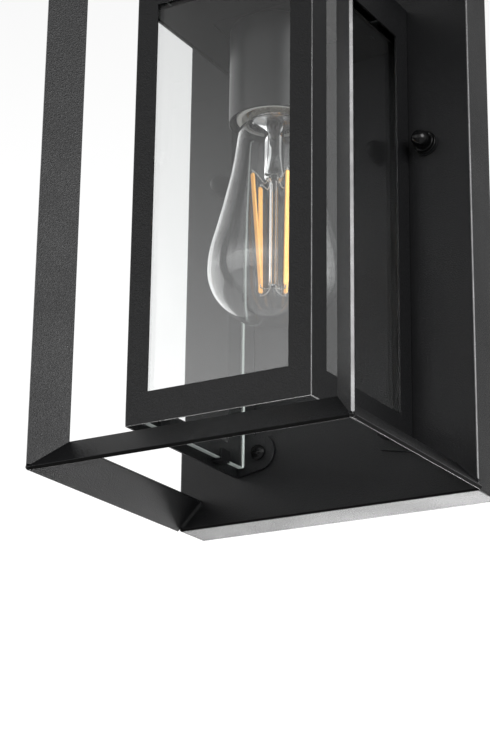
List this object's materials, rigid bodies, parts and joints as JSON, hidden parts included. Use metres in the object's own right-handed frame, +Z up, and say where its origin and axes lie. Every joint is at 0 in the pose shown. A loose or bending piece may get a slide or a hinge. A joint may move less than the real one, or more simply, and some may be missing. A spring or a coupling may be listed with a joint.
{
  "type": "outdoor wall lantern",
  "caption": "Wall lantern: an open cage of flat black strips round a glazed lamp box with a clear filament bulb, on a folded back plate.",
  "frame": {"origin": "on the wall, at the middle of the mounting strap's rear face, level with the two cap nuts", "axes": "+X to the right of someone facing the lantern, +Y into the wall, +Z up"},
  "size_m": [0.1718, 0.1522, 0.286],
  "materials": {
    "powder_coat": "sand-textured black powder coat",
    "clear_glass": "clear sheet, ground edges",
    "bulb_glass": "clear blown glass",
    "zinc_steel": "zinc plated",
    "nickel": "nickel plated, satin",
    "brass": "plain",
    "porcelain": null,
    "filament": "amber phosphor coating",
    "black_insulation": "satin",
    "white_insulation": "satin",
    "copper": null,
    "green_screw": "green passivated",
    "rubber": "moulded"
  },
  "bodies": {
    "lantern": {"post_left": "powder_coat", "post_right": "powder_coat", "bar_bottom_front": "powder_coat", "bar_bottom_left": "powder_coat", "bar_bottom_right": "powder_coat", "bar_top_front": "powder_coat", "bar_top_left": "powder_coat", "bar_top_right": "powder_coat", "back_plate": "powder_coat", "mounting_strap": "zinc_steel", "stud_left": "zinc_steel", "stud_locknut_left": "zinc_steel", "stud_right": "zinc_steel", "stud_locknut_right": "zinc_steel", "ground_screw": "green_screw", "lamp_housing": "powder_coat", "pane_front": "clear_glass", "pane_left": "clear_glass", "pane_right": "clear_glass", "ceiling_plate": "powder_coat", "top_cover": "powder_coat", "ceiling_rivet_left": "zinc_steel", "ceiling_rivet_right": "zinc_steel", "ear_screw_lower_left": "powder_coat", "ear_nut_lower_left": "zinc_steel", "ear_screw_lower_right": "powder_coat", "ear_nut_lower_right": "zinc_steel", "ear_screw_upper_left": "powder_coat", "ear_nut_upper_left": "zinc_steel", "ear_screw_upper_right": "powder_coat", "ear_nut_upper_right": "zinc_steel", "socket_cup": "powder_coat", "socket_plate": "powder_coat", "nipple": "zinc_steel", "nipple_washer": "zinc_steel", "nipple_nut": "brass", "screw_shell": "brass", "centre_contact": "brass", "lampholder_body": "porcelain", "wire_live": "black_insulation", "plate_grommet": "rubber", "wire_neutral": "white_insulation", "ground_wire": "copper"},
    "nut_seat_left": {"washer_left": "powder_coat"},
    "nut_left": {"cap_nut_left": "powder_coat"},
    "nut_seat_right": {"washer_right": "powder_coat"},
    "nut_right": {"cap_nut_right": "powder_coat"},
    "bulb_lift": {"bulb_contact": "zinc_steel"},
    "bulb": {"bulb_glass": "bulb_glass", "bulb_cap": "nickel", "bulb_insulator": "black_insulation", "bulb_stem": "bulb_glass", "filament_1": "filament", "filament_2": "filament", "filament_3": "filament", "filament_4": "filament", "lead_wire_front": "nickel", "lead_wire_rear": "nickel", "filament_bridge": "nickel"}
  },
  "joints": [
    {"name": "cap_nut_travel_left", "type": "slide", "parent": "lantern", "child": "nut_seat_left", "axis": [0, -1, 0], "range_m": [0, 0.0077]},
    {"name": "cap_nut_turn_left", "type": "hinge", "parent": "nut_seat_left", "child": "nut_left", "pos_m": [-0.0599, -0.0304, 0], "axis": [0, -1, 0], "range_deg": [0, 3961]},
    {"name": "cap_nut_travel_right", "type": "slide", "parent": "lantern", "child": "nut_seat_right", "axis": [0, -1, 0], "range_m": [0, 0.0077]},
    {"name": "cap_nut_turn_right", "type": "hinge", "parent": "nut_seat_right", "child": "nut_right", "pos_m": [0.0599, -0.0304, 0], "axis": [0, -1, 0], "range_deg": [0, 3961]},
    {"name": "bulb_travel", "type": "slide", "parent": "lantern", "child": "bulb_lift", "axis": [0, 0, -1], "range_m": [0, 0.01633]},
    {"name": "bulb_turn", "type": "hinge", "parent": "bulb_lift", "child": "bulb", "pos_m": [0, -0.0717, 0], "axis": [0, 0, -1], "range_deg": [0, 1621]}
  ],
  "couplings": [
    {"joint": "cap_nut_turn_left", "follows": "cap_nut_travel_left", "rad_per_m": 8976},
    {"joint": "cap_nut_turn_right", "follows": "cap_nut_travel_right", "rad_per_m": 8976},
    {"joint": "bulb_turn", "follows": "bulb_travel", "rad_per_m": 1731.4}
  ]
}
